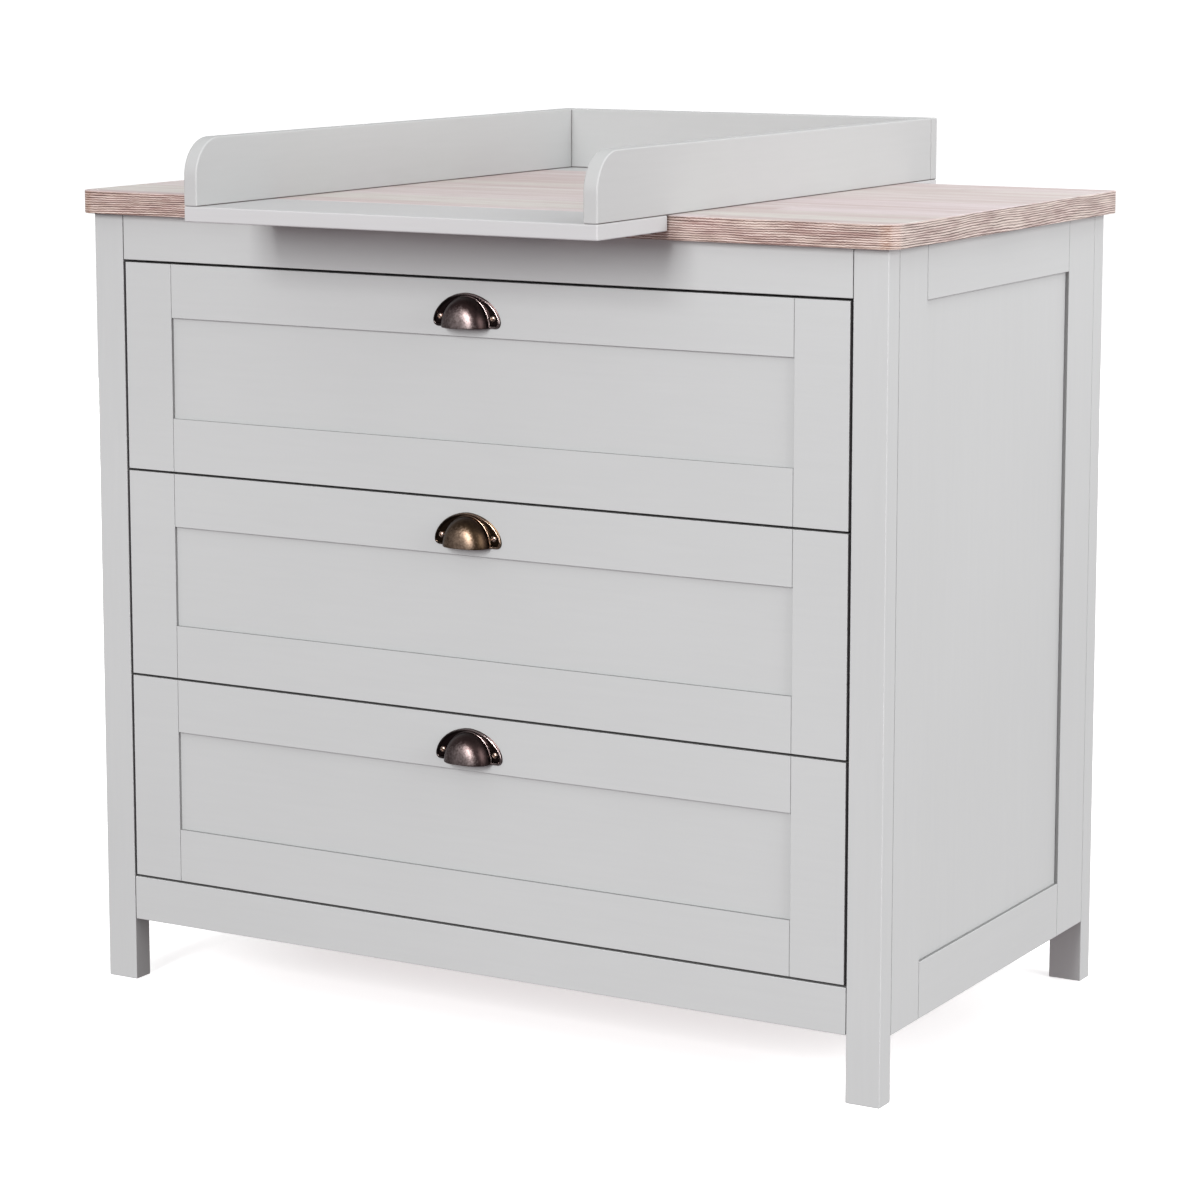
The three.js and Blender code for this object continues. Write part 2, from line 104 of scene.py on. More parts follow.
def make_world():
    """Even white light from above, and for gloss a room that is dim in front and bright behind."""
    world = bpy.data.worlds.new("studio")
    bpy.context.scene.world = world
    world.use_nodes = True
    tree = world.node_tree

    def mix(factor, a, b):
        node = tree.nodes.new("ShaderNodeMix")
        node.data_type = "RGBA"
        tree.links.new(factor, node.inputs["Factor"])
        for socket, value in ((node.inputs[6], a), (node.inputs[7], b)):
            if isinstance(value, bpy.types.NodeSocket):
                tree.links.new(value, socket)
            else:
                socket.default_value = value
        return node.outputs[2]

    place = tree.nodes.new("ShaderNodeTexCoord")
    split = tree.nodes.new("ShaderNodeSeparateXYZ")
    turn = tree.nodes.new("ShaderNodeMapRange")
    turn.interpolation_type = "SMOOTHSTEP"
    turn.inputs["From Min"].default_value, turn.inputs["From Max"].default_value = ROOM_TURN
    tree.links.new(place.outputs["Generated"], split.inputs[0])
    tree.links.new(split.outputs["Y"], turn.inputs["Value"])
    above = tree.nodes.new("ShaderNodeMath")
    above.operation = "GREATER_THAN"
    above.inputs[1].default_value = 0.0
    tree.links.new(split.outputs["Z"], above.inputs[0])
    front = mix(above.outputs[0], STUDIO_FLOOR, STUDIO)
    room = mix(turn.outputs["Result"], front, FAR_WALL)
    sky = mix(split.outputs["Z"], SKY_LOW, SKY_HIGH)
    dome = mix(above.outputs[0], GROUND, sky)
    ray = tree.nodes.new("ShaderNodeLightPath")
    lit = mix(ray.outputs["Is Glossy Ray"], dome, room)
    seen = mix(ray.outputs["Is Camera Ray"], lit, BACKDROP)
    tree.links.new(seen, tree.nodes["Background"].inputs["Color"])


def area_lamp(name, place, target, size, light, in_gloss=True):
    """A softbox. If it isn't in_gloss, polished faces don't mirror it."""
    reach = Vector(target) - Vector(place)
    data = bpy.data.lights.new(name, "AREA")
    data.shape = "RECTANGLE"
    data.size, data.size_y = size
    data.energy = light * (math.pi * reach.length) ** 2
    lamp = bpy.data.objects.new(name, data)
    lamp.location = place
    lamp.rotation_euler = reach.to_track_quat("-Z", "Y").to_euler()
    lamp.visible_camera = False
    lamp.visible_glossy = in_gloss
    bpy.context.scene.collection.objects.link(lamp)


def make_lamps():
    area_lamp("key", *KEY_LAMP)
    area_lamp("side", *SIDE_LAMP)
    area_lamp("overhead", *OVERHEAD_LAMP)
    area_lamp("rear", *REAR_LAMP, in_gloss=False)


def make_floor():
    mesh = bpy.data.meshes.new("floor")
    half = FLOOR_SIZE / 2
    corners = [(-half, -half, 0), (half, -half, 0), (half, half, 0), (-half, half, 0)]
    mesh.from_pydata(corners, [], [(0, 1, 2, 3)])
    floor = bpy.data.objects.new("floor", mesh)
    bpy.context.scene.collection.objects.link(floor)
    mesh.materials.append(floor_material())
    floor.visible_diffuse = False  # the world's lower half stands in for it
    floor.visible_glossy = False


# ---- Node helpers -------------------------------------------------------------------------------


class Nodes:
    """A material's node tree, with short ways to add to it."""

    def __init__(self, name):
        self.material = bpy.data.materials.new(name)
        self.material.use_nodes = True
        self.tree = self.material.node_tree
        self.shader = self.tree.nodes["Principled BSDF"]

    def add(self, kind, **sockets):
        node = self.tree.nodes.new("ShaderNode" + kind)
        for key, value in sockets.items():
            self.put(node.inputs[key], value)
        return node

    def put(self, socket, value):
        if isinstance(value, bpy.types.NodeSocket):
            self.tree.links.new(value, socket)
        else:
            socket.default_value = value

    def set(self, key, value):
        self.put(self.shader.inputs[key], value)

    def place(self, scale=(1, 1, 1)):
        """The point being shaded, in metres, multiplied by a scale along each axis."""
        coordinates = self.add("TexCoord")
        mapping = self.add("Mapping", Vector=coordinates.outputs["Object"])
        mapping.inputs["Scale"].default_value = scale
        return mapping.outputs["Vector"]

    def axes(self):
        """The point being shaded, as its x, y and z in metres."""
        return self.add("SeparateXYZ", Vector=self.add("TexCoord").outputs["Object"]).outputs

    def noise(self, vector, scale=1.0, detail=2.0, roughness=0.5, distortion=0.0):
        node = self.add("TexNoise", Vector=vector, Scale=scale, Detail=detail)
        node.inputs["Roughness"].default_value = roughness
        node.inputs["Distortion"].default_value = distortion
        return node.outputs["Fac"]

    def calc(self, a, b, operation="ADD"):
        """a and b added, or put through another operation of arithmetic."""
        node = self.add("Math")
        node.operation = operation
        self.put(node.inputs[0], a)
        self.put(node.inputs[1], b)
        return node.outputs[0]

    def times(self, a, b):
        return self.calc(a, b, "MULTIPLY")

    def vector(self, operation, a, b):
        node = self.add("VectorMath")
        node.operation = operation
        self.put(node.inputs[0], a)
        self.put(node.inputs[1], b)
        return node.outputs[0]

    def span(self, value, low, high, to_low=0.0, to_high=1.0):
        """value from low to high made to run from to_low to to_high, and held there beyond them."""
        node = self.add("MapRange", Value=value)
        for key, number in zip(("From Min", "From Max", "To Min", "To Max"), (low, high, to_low, to_high)):
            node.inputs[key].default_value = number
        return node.outputs["Result"]

    def mix(self, factor, a, b):
        """Colour a where factor is 0, and b where it is 1. The node keeps its colours at 6, 7 and 2."""
        node = self.add("Mix")
        node.data_type = "RGBA"
        self.put(node.inputs["Factor"], factor)
        self.put(node.inputs[6], a)
        self.put(node.inputs[7], b)
        return node.outputs[2]

    def tones(self, factor, pair):
        """From the first to the second of a pair of sRGB colours."""
        return self.mix(factor, linear(*pair[0]), linear(*pair[1]))

    def bump(self, height, strength, distance, under=None):
        node = self.add("Bump", Height=height)
        node.inputs["Strength"].default_value = strength
        node.inputs["Distance"].default_value = distance
        if under is not None:
            self.put(node.inputs["Normal"], under)
        return node.outputs["Normal"]


def linear(red, green, blue):
    """A colour given as 0 to 255 in sRGB, as the shader's linear values."""
    channels = [c / 255 for c in (red, green, blue)]
    return (*[c / 12.92 if c <= 0.04045 else ((c + 0.055) / 1.055) ** 2.4 for c in channels], 1.0)


# ---- Materials ----------------------------------------------------------------------------------

CHEST_PAINT = (187, 189, 189)
TRAY_PAINT = (187, 187, 188)
WALL_SHADED_PAINT = (177, 178, 178)  # painted shade: the tray's paint a touch darker on its walls, to take down the light they get
GAP_SHADE = (134, 134, 134)  # painted shade: a darker grey on narrow edges and legs' inner faces, for the shade in the gaps
# painted shade: the dark line along the tray walls' foot and rear ends, for the shadow in those seams
SEAM_SHADE = (84, 68, 63)
SEAM_SHADE_W = 1.2 * MM  # how wide a painted shade line is
SEAM_SHADE_STOP = 2 * MM  # of the tray's walls, where their painted shade lines stop short of the front
PAINT_TONE = 0.02  # how far it strays from its colour, darker and lighter
ALONG = {"x": (3.5, 60, 60), "y": (60, 3.5, 60), "z": (60, 60, 3.5)}  # a grain's stretch by its direction


def gap_shade_mask(n, faces, x):
    """Where shade is painted: 1 on a board's narrow edges, or on a leg's inner face, and 0 on the rest."""
    turned = n.add("SeparateXYZ", Vector=n.add("NewGeometry").outputs["Normal"])
    if faces == "inner":
        outward = n.times(turned.outputs["X"], n.calc(x, 0.0, "SIGN"))
        return n.span(outward, -0.5, -0.8)
    return n.span(n.calc(turned.outputs[faces], 0.0, "ABSOLUTE"), 0.6, 0.3)


def paint(name, along, faces=None, colour=CHEST_PAINT, seam_shades=()):
    """Satin lacquer over smooth board: sprayed orange peel, with a grain just telling through it.

    A board that faces along one axis has painted shade on its narrow edges, a darker grey for the shade in
    the gaps, and a leg ("inner") has it on the side towards the drawers. Each edge in the last argument is
    an axis, a place on it and a way, and a dark line painted along it is painted shade, the shadow in that
    seam.
    These lines stop short of the front ends of the tray's walls, which are painted all over.
    """
    n = Nodes(name)
    cloud = n.noise(n.place(), scale=2.3, detail=3)
    grain = n.noise(n.place(ALONG[along]), scale=3.0, detail=6, roughness=0.6, distortion=0.4)
    base = linear(*colour)
    dark = tuple(c * (1 - PAINT_TONE) for c in base[:3]) + (1.0,)
    light = tuple(c * (1 + PAINT_TONE) for c in base[:3]) + (1.0,)
    blotch = n.span(n.calc(n.times(cloud, 0.6), n.times(grain, 0.4)), 0.35, 0.65)
    coat = n.mix(blotch, dark, light)
    axes = n.axes()
    if faces is not None:
        # painted shade: narrow edges and legs' inner faces take the darker grey
        coat = n.mix(gap_shade_mask(n, faces, axes["X"]), coat, linear(*GAP_SHADE))
    # painted shade: a dark line along each listed seam of the tray's walls
    for axis, end, way in seam_shades:
        at_edge = n.span(axes[axis], end - way * SEAM_SHADE_W, end - way * SEAM_SHADE_W / 2)
        past_end = n.span(axes["Y"], WALL_FRONT, WALL_FRONT + SEAM_SHADE_STOP)
        coat = n.mix(n.times(at_edge, past_end), coat, linear(*SEAM_SHADE))
    n.set("Base Color", coat)
    n.set("Roughness", n.span(cloud, 0.3, 0.7, 0.40, 0.47))
    peel = n.noise(n.place(), scale=650, detail=2)
    brushed = n.bump(grain, 0.25, 0.0003)
    n.set("Normal", n.bump(peel, 0.10, 0.0002, brushed))
    return n.material


PLANK_TONES = ((210, 198, 200), (202, 202, 193))
STREAK = (189, 170, 168)
PORE = (166, 147, 143)
FRONT_BAND = ((160, 130, 123), (180, 158, 148))
# painted sheen: the band is paler and less pink on the worktop's sides, where it is seen at a grazing angle
SHEEN_SIDE_BAND = ((164, 143, 138), (185, 171, 163))
# painted shading on the edge band where it bends round the worktop's corners
CORNER_SHADE_TINT = (152, 112, 86)
BAND_PALE = (232, 218, 210)
BAND_DARK = (70, 45, 39)
PLANK_W = 93.5 * MM
PLANK_L = 830 * MM
FIRST_PLANK = -37 * MM  # where a joint between two rows of planks lies, from front to rear
GRAIN_STRETCH = (1.3, 24.0, 24.0)
PORE_STRETCH = (14.0, 420.0, 420.0)
BAND_LINE = 2.5 * MM  # between the edge band's dark lines
BAND_TOP = (1.2 * MM, 0.6 * MM)  # below the worktop's surface, where the band goes over into the top
CORNER_SHADE_STARTS = (19 * MM, 16 * MM)  # in from the worktop's side, where the painted shading of its rounded corners, a browner tint, begins
CORNER_SHADE_ENDS = (6 * MM, 9 * MM)
SHEEN_SIDE_STARTS = (2 * MM, 0.5 * MM)


def oak_material():
    """Whitewashed oak laminate, with planks from left to right on top and a darker band round the edge."""
    n = Nodes("oak_laminate")
    x, y, z = n.axes()

    # Top: planks of one width, each with its own tone and its own stretch of grain.
    row = n.calc(n.calc(n.calc(y, FIRST_PLANK, "SUBTRACT"), PLANK_W, "DIVIDE"), 0.0, "FLOOR")
    row_tone = n.add("TexWhiteNoise", Vector=n.add("CombineXYZ", X=row, Y=3.7).outputs[0])
    stagger = n.times(row_tone.outputs["Value"], 7.0)
    board = n.calc(n.calc(n.calc(x, PLANK_L, "DIVIDE"), stagger), 0.0, "FLOOR")
    cell = n.add("CombineXYZ", X=board, Y=row)
    tone = n.add("TexWhiteNoise", Vector=cell.outputs[0])
    own_stretch = n.vector("MULTIPLY", tone.outputs["Color"], (9.0, 9.0, 9.0))
    moved = n.vector("ADD", n.place(), own_stretch)
    grain_place = n.vector("MULTIPLY", moved, GRAIN_STRETCH)
    streak = n.noise(grain_place, scale=1.0, detail=5, roughness=0.58, distortion=0.7)
    pores = n.noise(n.vector("MULTIPLY", moved, PORE_STRETCH), scale=1.0, detail=3, roughness=0.7)
    plank = n.tones(tone.outputs["Value"], PLANK_TONES)
    washed = n.mix(n.span(streak, 0.36, 0.60), linear(*STREAK), plank)
    top = n.mix(n.span(pores, 0.36, 0.56, 0.45, 0.0), washed, linear(*PORE))

    # Edge band: thin dark and pale lines under 3 mm apart, wavering and breaking off as they go.
    sway = n.noise(n.place((7, 7, 30)), scale=1.0, detail=2)
    jitter = n.noise(n.place((260, 260, 120)), scale=1.0, detail=3, roughness=0.7)
    shift = n.calc(n.times(sway, 3.0), n.times(jitter, 0.7))
    turns = n.calc(n.times(z, 1 / BAND_LINE), shift)
    wave = n.calc(n.times(turns, math.tau), 0.0, "SINE")
    strength = n.noise(n.place((30, 30, 420)), scale=1.0, detail=4, roughness=0.7)
    lines = n.times(n.span(wave, 0.2, 0.85), n.span(strength, 0.36, 0.56, 0.20, 1.0))
    bright = n.times(n.span(wave, -0.35, -0.9), n.span(strength, 0.60, 0.40, 0.10, 1.0))
    patch = n.noise(n.place((16, 16, 90)), scale=1.0, detail=2)
    front_band = n.tones(n.span(patch, 0.38, 0.62), FRONT_BAND)
    sheen_side_band = n.tones(n.span(patch, 0.38, 0.62), SHEEN_SIDE_BAND)
    from_side = n.calc(BAND_SIDE, n.calc(x, 0.0, "ABSOLUTE"), "SUBTRACT")
    # painted shading: a browner tint on the band's rounded corners
    corner_shade = n.times(n.span(from_side, *CORNER_SHADE_STARTS), n.span(from_side, *CORNER_SHADE_ENDS, 0.0, 0.45))
    # painted sheen: the paler band on the worktop's sides
    plain = n.mix(n.span(from_side, *SHEEN_SIDE_STARTS), front_band, sheen_side_band)
    ground = n.mix(corner_shade, plain, linear(*CORNER_SHADE_TINT))
    band = n.mix(lines, n.mix(bright, ground, linear(*BAND_PALE)), linear(*BAND_DARK))

    on_top = n.span(z, TOP_SURFACE - BAND_TOP[0], TOP_SURFACE - BAND_TOP[1])
    n.set("Base Color", n.mix(on_top, band, top))
    n.set("Roughness", n.span(pores, 0.3, 0.7, 0.48, 0.36))
    relief = n.calc(n.times(pores, 0.5), n.times(lines, 0.5))
    n.set("Normal", n.bump(relief, 0.25, 0.0003))
    return n.material


WHITE_BOARD = ((222, 219, 214), (231, 229, 225))
STEEL = ((168, 171, 175), (196, 198, 201))
NICKEL = ((178, 154, 142), (228, 206, 192))
PAPER = ((249, 249, 249), (252, 252, 252))
PEWTER = ((44, 35, 35), (80, 65, 64), (184, 168, 166))  # the tarnish, the plating and the rubbed metal, which also paints the highlights
BRONZE = ((46, 35, 29), (86, 69, 53), (192, 166, 146))


def board_material():
    """Off-white melamine: faintly pebbled, with a trace of tone."""
    n = Nodes("white_board")
    cloud = n.noise(n.place(), scale=6, detail=3)
    n.set("Base Color", n.tones(cloud, WHITE_BOARD))
    n.set("Roughness", 0.5)
    n.set("Normal", n.bump(n.noise(n.place(), scale=900, detail=2), 0.15, 0.0002))
    return n.material


def steel_material():
    """Zinc-plated rolled steel with lengthwise drawing marks."""
    n = Nodes("runner_steel")
    marks = n.noise(n.place((400, 8, 400)), scale=3.0, detail=3)
    spangle = n.noise(n.place(), scale=70, detail=2)
    n.set("Base Color", n.tones(spangle, STEEL))
    n.set("Metallic", 1.0)
    n.set("Roughness", n.span(marks, 0.3, 0.7, 0.28, 0.44))
    n.set("Normal", n.bump(marks, 0.2, 0.0001))
    return n.material


# Where the plating changes, as shares of the cup's reach.
FLANGE_ENDS = (0.12, 0.10)
FOOT_STARTS = (0.085, 0.105)  # the line where cup and flange meet, brightened as a painted highlight
FOOT_ENDS = (0.160, 0.140)
SATIN_STARTS = (0.14, 0.25)  # the flange is glossier than the cup
GLINT_GROWS = (-20 * MM, 2 * MM)  # along that line, from left to right, the painted highlight grows


def pewter_material(name, colours):
    """Dark antique plating, satin. It is rubbed bright where the cup stands proudest, which also paints a
    highlight there, and a painted highlight runs along its foot.
    """
    n = Nodes(name)
    dark, plate, bright = [linear(*colour) for colour in colours]
    x, y, _ = n.axes()
    # How far out a point stands, as a share of the cup's reach.
    proud = n.times(n.calc(FRONT_FACE, y, "SUBTRACT"), 1 / CUP_REACH)
    cloud = n.noise(n.place(), scale=420, detail=6, roughness=0.7)
    mottle = n.times(n.calc(cloud, 0.5, "SUBTRACT"), 0.6)
    plating = n.mix(n.span(n.calc(proud, mottle), 0.30, 0.75), dark, plate)
    # rubbed bright where the cup stands proudest, which also paints a wider highlight there
    rubbed_highlight = n.mix(n.span(n.calc(proud, mottle), 0.78, 1.12), plating, bright)
    rubbed_highlight = n.mix(n.span(proud, *FLANGE_ENDS), rubbed_highlight, plate)
    # painted highlight: a bright line at the depth of the cup's foot and the bead, growing from left to
    # right
    foot = n.times(n.span(proud, *FOOT_STARTS), n.span(proud, *FOOT_ENDS))
    glint = n.times(n.span(cloud, 0.25, 0.50, 0.5, 1.0), n.span(x, *GLINT_GROWS, 0.15, 1.0))
    n.set("Base Color", n.mix(n.times(foot, glint), rubbed_highlight, bright))
    n.set("Metallic", 1.0)
    satin = n.span(cloud, 0.3, 0.7, 0.32, 0.44)
    n.set("Roughness", n.times(satin, n.span(proud, *SATIN_STARTS, 0.50, 1.0)))
    n.set("Normal", n.bump(n.noise(n.place(), scale=1500, detail=2), 0.12, 0.0001))
    return n.material


def screw_material():
    """Aged nickel plating, a little mottled."""
    n = Nodes("screw_nickel")
    cloud = n.noise(n.place(), scale=700, detail=3)
    n.set("Base Color", n.tones(cloud, NICKEL))
    n.set("Metallic", 1.0)
    n.set("Roughness", n.span(cloud, 0.3, 0.7, 0.22, 0.36))
    return n.material


def floor_material():
    """Plain white studio paper."""
    n = Nodes("paper")
    cloud = n.noise(n.place(), scale=1.5, detail=2)
    n.set("Base Color", n.tones(cloud, PAPER))
    n.set("Roughness", 0.9)
    n.set("Specular IOR Level", 0.1)
    n.set("Emission Color", (1.0, 1.0, 1.0, 1.0))
    n.set("Emission Strength", FLOOR_GLOW)
    return n.material


# ---- Boards -------------------------------------------------------------------------------------

EASE = 1.0 * MM  # radius of the sanded edges
TRAY_EASE = 1.6 * MM
TRAY_SEGMENTS = 3
WORKTOP_EASE = 0.8 * MM
BOX_EASE = 0.6 * MM
FLAT = math.radians(1)  # faces that meet at less than this are one face
CORNER = math.radians(35)  # faces that meet at more than this have an edge to round
BOARD_CREASE = math.radians(25)  # and at more than this, shading breaks there
METAL_CREASE = math.radians(40)


def paint_node(node, material):
    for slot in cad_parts[node].material_slots:
        slot.material = material


def ease(node, radius=EASE, segments=2):
    """Rounds the edges of one of the frame's boards, as sanding and lacquer leave them."""
    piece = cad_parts[node]
    weld = piece.modifiers.new("weld", "WELD")
    weld.merge_threshold = WELD
    flat = piece.modifiers.new("flat", "DECIMATE")
    flat.decimate_type = "DISSOLVE"
    flat.angle_limit = FLAT
    bevel = piece.modifiers.new("ease", "BEVEL")
    bevel.width = radius
    bevel.segments = segments
    bevel.limit_method = "ANGLE"
    bevel.angle_limit = CORNER
    bevel.harden_normals = True


def dress_boards():
    """Paints and eases the chest and the tray, and gives back the paint that the drawer fronts share."""
    front_x = paint("painted_front_along_x", "x", "Y")
    side_y = paint("painted_side_along_y", "y", "X")
    side_z = paint("painted_side_along_z", "z", "X")
    leg_z = paint("painted_leg_along_z", "z", "inner")
    foot = ("Z", TOP_SURFACE, -1)
    rear_end = ("Y", WALL_REAR, 1)
    # the walls take the darker, painted-shade copy of the tray's paint
    wall_x = paint("painted_wall_along_x", "x", colour=WALL_SHADED_PAINT, seam_shades=(foot,))
    wall_y = paint("painted_wall_along_y", "y", colour=WALL_SHADED_PAINT, seam_shades=(foot, rear_end))
    for node in ("front_rail_top", "front_rail_bottom", "rear_rail_bottom"):
        paint_node(node, front_x)
        ease(node)
    for side in SIDES:
        for node in ("front_leg", "rear_leg"):
            paint_node(f"{node}_{side}", leg_z)
            ease(f"{node}_{side}")
        for node in ("side_stile_front", "side_stile_rear", "side_panel"):
            paint_node(f"{node}_{side}", side_z)
            ease(f"{node}_{side}")
        for node in ("side_rail_bottom", "side_rail_top"):
            paint_node(f"{node}_{side}", side_y)
            ease(f"{node}_{side}")
        paint_node(f"tray_wall_{side}", wall_y)
        ease(f"tray_wall_{side}", TRAY_EASE, TRAY_SEGMENTS)
    tray_x = paint("painted_tray_along_x", "x", colour=TRAY_PAINT)
    for node in ("tray_board_front", "tray_board_rear"):
        paint_node(node, tray_x)
        ease(node, TRAY_EASE, TRAY_SEGMENTS)
    paint_node("tray_wall_back", wall_x)
    ease("tray_wall_back", TRAY_EASE, TRAY_SEGMENTS)
    paint_node("worktop", oak_material())
    ease("worktop", WORKTOP_EASE)
    return front_x


def dress_boxes():
    """The drawer boxes, the back panel and the runners."""
    board = board_material()
    steel = steel_material()
    paint_node("back_panel", board)
    for drawer in DRAWERS:
        for node in (f"drawer_back_{drawer}", f"drawer_bottom_{drawer}"):
            paint_node(node, board)
        for side in SIDES:
            paint_node(f"drawer_side_{drawer}_{side}", board)
            ease(f"drawer_side_{drawer}_{side}", BOX_EASE)
            for runner in ("runner_chest", "runner_drawer"):
                paint_node(f"{runner}_{drawer}_{side}", steel)


def object_from(name, mesh, body, material):
    """A piece of the visual model that rides one body."""
    piece = bpy.data.objects.new(name, mesh)
    bpy.context.scene.collection.objects.link(piece)
    mesh.materials.append(material)
    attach(piece, body)
    return piece


def smooth_with_sharp_edges(work, angle):
    """Shades the mesh smooth, except over edges where its faces meet at more than the angle."""
    for face in work.faces:
        face.smooth = True
    for edge in work.edges:
        if len(edge.link_faces) == 2 and edge.calc_face_angle(0) > angle:
            edge.smooth = False


def keep_flats_flat(piece):
    """Turns the rounded edges' normals to meet the flat faces, so that only the edges shade as round."""
    normals = piece.modifiers.new("normals", "WEIGHTED_NORMAL")
    normals.keep_sharp = True
    normals.weight = 100


def drawer_front(drawer, material):
    """The frame's drawer front with its outer edges rounded more than the small steps of its field."""
    node = f"drawer_front_{drawer}"
    low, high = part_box(node)
    work = bmesh.new()
    work.from_mesh(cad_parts[node].data)
    bmesh.ops.remove_doubles(work, verts=work.verts, dist=WELD)
    bmesh.ops.dissolve_limit(work, angle_limit=FLAT, verts=work.verts, edges=work.edges)

    def on_outline(vertex):
        at_side = min(abs(vertex.co.x - low.x), abs(vertex.co.x - high.x)) < WELD
        at_end = min(abs(vertex.co.z - low.z), abs(vertex.co.z - high.z)) < WELD
        return at_side or at_end

    sharp = [e for e in work.edges if e.calc_face_angle(0) > CORNER]
    outer = [e for e in sharp if all(on_outline(v) for v in e.verts)]
    bmesh.ops.bevel(
        work, geom=outer, offset=EASE, segments=3, profile=0.5, affect="EDGES", clamp_overlap=True
    )
    mesh = bpy.data.meshes.new(f"look_{node}")
    smooth_with_sharp_edges(work, BOARD_CREASE)
    work.to_mesh(mesh)
    work.free()
    piece = object_from(f"look_{node}", mesh, f"{drawer}_drawer", material)
    keep_flats_flat(piece)
    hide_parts(node)


# ---- Cup pulls ----------------------------------------------------------------------------------

FLANGE_T = 1.5 * MM
FLANGE_UPRIGHT = 0.9 * MM  # height of its outer edge, below the bead
BEAD_R = 1.25 * MM
BEAD_INSET = 1.6 * MM  # from the flange's outer edge to the middle of its bead
BEAD_START = math.radians(200)
BEAD_SWEEP = math.radians(220)
BEAD_STEPS = 10
PAST_BEAD = (0.3 * MM, 0.8 * MM)  # points on the flat beyond it, which keep the bead's shading off the flat
LEG_INSET = 0.5 * MM  # from the cup's side to where the flange's lower edge begins
EAR_START = 2 * MM  # straight run of the lower edge before the ear's rounding
CUP_HALF_W = 27.8 * MM
CUP_HEIGHT = 32.5 * MM
CUP_WALL = 1.75 * MM
CUP_FULLNESS = 3.0  # 2 is an ellipsoid, and more makes it blunter
ROLL_R = 0.8 * MM  # of the small roll where the cup meets the flange
EAR_R = 6.0 * MM  # the rounding of the flange's lower ends
EAR_STEPS = 8
ARCH_STEPS = 48
FLANKS = 1.84  # the outline's exponent: 2 is an ellipse, and less makes its flanks straighter
CUP_TURNS = 56
CUP_STEPS = 28
LIP_STEPS = 6


def flange_outline(half_w, height):
    """The flange's outer edge as x and z, from its lower right end, over the top, to its lower left end."""
    right = [(CUP_HALF_W - LEG_INSET, 0.0), (half_w - EAR_R - EAR_START, 0.0)]
    for i in range(EAR_STEPS + 1):
        a = -math.pi / 2 + math.pi / 2 * i / EAR_STEPS
        right.append((half_w - EAR_R + EAR_R * math.cos(a), EAR_R + EAR_R * math.sin(a)))
    for i in range(1, ARCH_STEPS + 1):
        a = math.pi / 2 * i / ARCH_STEPS
        across, up = math.cos(a) ** (2 / FLANKS), math.sin(a) ** (2 / FLANKS)
        right.append((half_w * across, EAR_R + (height - EAR_R) * up))
    return right + [(-x, z) for x, z in reversed(right[:-1])]


def inward(points, i):
    """The way in from an outline at its point i."""
    a, b = points[max(i - 1, 0)], points[min(i + 1, len(points) - 1)]
    along = Vector((b[0] - a[0], b[1] - a[1])).normalized()
    return Vector((-along.y, along.x))


def flange_section():
    """Distances in from the outer edge, and heights above the drawer front, of the beaded rim."""
    section = [(0.0, 0.0), (0.0, FLANGE_UPRIGHT)]
    for i in range(BEAD_STEPS + 1):
        a = BEAD_START - BEAD_SWEEP * i / BEAD_STEPS
        section.append((BEAD_INSET + BEAD_R * math.cos(a), FLANGE_T + BEAD_R * math.sin(a)))
    for past in PAST_BEAD:
        section.append((BEAD_INSET + BEAD_R + past, FLANGE_T))
    return section


def add_loops(work, loops):
    """Joins closed loops of points, one after another, into a tube with capped ends."""
    rings = [[work.verts.new(p) for p in loop] for loop in loops]
    count = len(rings[0])
    for a, b in zip(rings, rings[1:]):
        for i in range(count):
            j = (i + 1) % count
            work.faces.new((a[i], a[j], b[j], b[i]))
    work.faces.new(list(reversed(rings[0])))
    work.faces.new(rings[-1])


def add_flange(work, face_y, base_z, half_w, height):
    """The plate on the drawer front, with a bead along its outer edge and an opening behind the cup."""
    outline = flange_outline(half_w, height)
    inner_w, inner_h = CUP_HALF_W - CUP_WALL, CUP_HEIGHT - CUP_WALL
    loops = []
    for i, (x, z) in enumerate(outline):
        way = inward(outline, i)
        loop = []
        for d, h in flange_section():
            loop.append((x + way.x * d, face_y - h, base_z + z + way.y * d))
        a = min(max(math.atan2(z, x), 0), math.pi)
        inner = (inner_w * math.cos(a), base_z + inner_h * math.sin(a))
        loop += [(inner[0], face_y - FLANGE_T, inner[1]), (inner[0], face_y, inner[1])]
        loops.append(loop)
    add_loops(work, loops)


def add_roll(work, face_y, base_z):
    """A thin half-ring round the cup's foot."""
    sides = 10
    loops = []
    for j in range(CUP_TURNS + 1):
        a = math.pi * j / CUP_TURNS
        foot = Vector((CUP_HALF_W * math.cos(a), face_y - FLANGE_T, base_z + CUP_HEIGHT * math.sin(a)))
        out = Vector((math.cos(a) / CUP_HALF_W, 0, math.sin(a) / CUP_HEIGHT)).normalized()
        loop = []
        for k in range(sides):
            b = math.tau * k / sides
            loop.append(foot + out * ROLL_R * math.cos(b) + Vector((0, -1, 0)) * ROLL_R * math.sin(b))
        loops.append(loop)
    add_loops(work, loops)


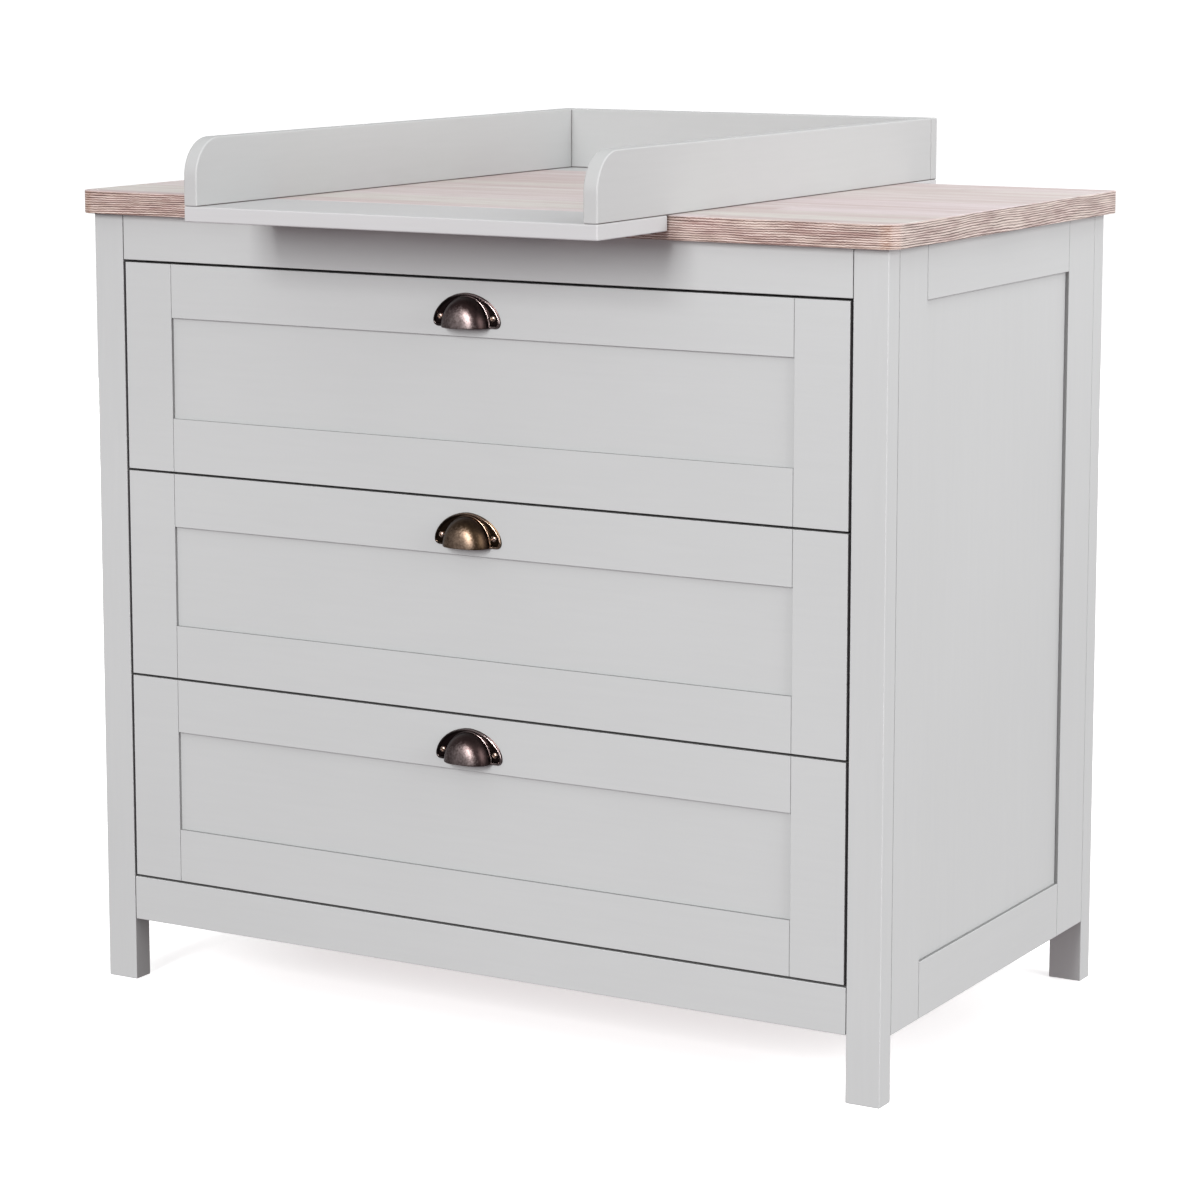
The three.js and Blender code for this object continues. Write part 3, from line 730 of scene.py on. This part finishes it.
def add_cup(work, face_y, base_z):
    """A blunt quarter of an ellipsoid, open below and behind, with a rounded lip."""
    lip = CUP_WALL / 2

    def meridian(shrink, a, upwards):
        half_w, reach, height = CUP_HALF_W - shrink, CUP_REACH - shrink, CUP_HEIGHT - shrink
        points = []
        for i in range(CUP_STEPS + 1):
            b = math.pi / 2 * i / CUP_STEPS
            across, up = math.cos(a) * math.cos(b), math.sin(b)
            from_middle = min(math.hypot(across, up), 1)
            out = math.sqrt(1 - from_middle**CUP_FULLNESS)
            points.append((half_w * across, face_y - reach * out, lip + (height - lip) * up))
        return points if upwards else points[::-1]

    loops = []
    for j in range(CUP_TURNS + 1):
        a = math.pi * j / CUP_TURNS
        outer = meridian(0.0, a, False)
        inner = meridian(CUP_WALL, a, True)
        mid = (Vector(outer[-1]) + Vector(inner[0])) / 2
        half = (Vector(outer[-1]) - Vector(inner[0])) / 2
        rounding = []
        for k in range(1, LIP_STEPS):
            t = math.pi * k / LIP_STEPS
            rounding.append(mid + half * math.cos(t) - Vector((0, 0, 1)) * lip * math.sin(t))
        loops.append([Vector(p) + Vector((0, 0, base_z)) for p in (*outer, *rounding, *inner)])
    add_loops(work, loops)


def cup_pull(drawer, material):
    """A bin pull: flange, cup and the roll between them."""
    node = f"cup_pull_{drawer}"
    low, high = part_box(node)
    work = bmesh.new()
    add_flange(work, high.y, low.z, (high.x - low.x) / 2, high.z - low.z)
    add_cup(work, high.y, low.z)
    add_roll(work, high.y, low.z)
    bmesh.ops.remove_doubles(work, verts=work.verts, dist=WELD)
    bmesh.ops.dissolve_degenerate(work, edges=work.edges, dist=WELD)
    bmesh.ops.recalc_face_normals(work, faces=work.faces)
    smooth_with_sharp_edges(work, METAL_CREASE)
    mesh = bpy.data.meshes.new(f"look_{node}")
    work.to_mesh(mesh)
    work.free()
    piece = object_from(f"look_{node}", mesh, f"{drawer}_drawer", material)
    keep_flats_flat(piece)
    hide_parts(node)


# ---- Pull screws --------------------------------------------------------------------------------

SCREW_HEAD_R = 3.25 * MM
SCREW_DOME = 1.5 * MM
SCREW_RIM = 0.25 * MM  # height of the head's upright edge
SHANK_SHARE = 0.46  # the shank's thickness, as a share of the head's
RECESS_HALF_W = 0.5 * MM
RECESS_REACH = 1.9 * MM
RECESS_DEPTH = 0.9 * MM
RECESS_WALL = 0.2 * MM  # how wide its sloping sides are
RECESS_RAMP = 0.5 * MM  # and its sloping ends


def recess(x, z):
    """How deep the cross-shaped recess is at a point of the head."""
    near, far = sorted((abs(x), abs(z)))
    across = min(max((RECESS_HALF_W - near) / RECESS_WALL + 0.5, 0), 1)
    reach = min(max((RECESS_REACH - far) / RECESS_RAMP, 0), 1)
    return RECESS_DEPTH * across * reach


def pull_screw(drawer, side, material):
    """A dome-headed screw with a cross recess, and its shank going into the drawer front."""
    node = f"pull_screw_{drawer}_{side}"
    low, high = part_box(node)
    centre = (low + high) / 2
    seat = FRONT_FACE - FLANGE_T
    work = bmesh.new()
    turns, rings = 40, 16
    profile = []
    for i in range(1, rings + 1):
        r = SCREW_HEAD_R * i / rings
        profile.append((r, SCREW_DOME * math.sqrt(max(1 - (r / SCREW_HEAD_R) ** 2, 0)) + SCREW_RIM))
    shank_r = (high.x - low.x) / 2 * SHANK_SHARE
    profile += [(SCREW_HEAD_R, 0.0), (shank_r, 0.0), (shank_r, seat - high.y)]
    loops = []
    for r, h in profile:
        loop = []
        for j in range(turns):
            a = math.tau * j / turns
            x, z = r * math.cos(a), r * math.sin(a)
            sink = recess(x, z) if h > 0 else 0.0
            loop.append((centre.x + x, seat - h + sink, centre.z + z))
        loops.append(loop)
    add_loops(work, loops)
    bmesh.ops.recalc_face_normals(work, faces=work.faces)
    smooth_with_sharp_edges(work, METAL_CREASE)
    mesh = bpy.data.meshes.new(f"look_{node}")
    work.to_mesh(mesh)
    work.free()
    piece = object_from(f"look_{node}", mesh, f"{drawer}_drawer", material)
    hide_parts(node)


# ---- The whole object ---------------------------------------------------------------------------


def build():
    make_camera()
    make_world()
    make_lamps()
    make_floor()
    front_paint = dress_boards()
    dress_boxes()
    pewter = pewter_material("pewter", PEWTER)
    bronze = pewter_material("bronze", BRONZE)
    nickel = screw_material()
    for drawer in DRAWERS:
        drawer_front(drawer, front_paint)
        cup_pull(drawer, bronze if drawer == "middle" else pewter)
        for side in SIDES:
            pull_screw(drawer, side, nickel)
    bpy.context.scene.view_settings.view_transform = "Standard"


build()
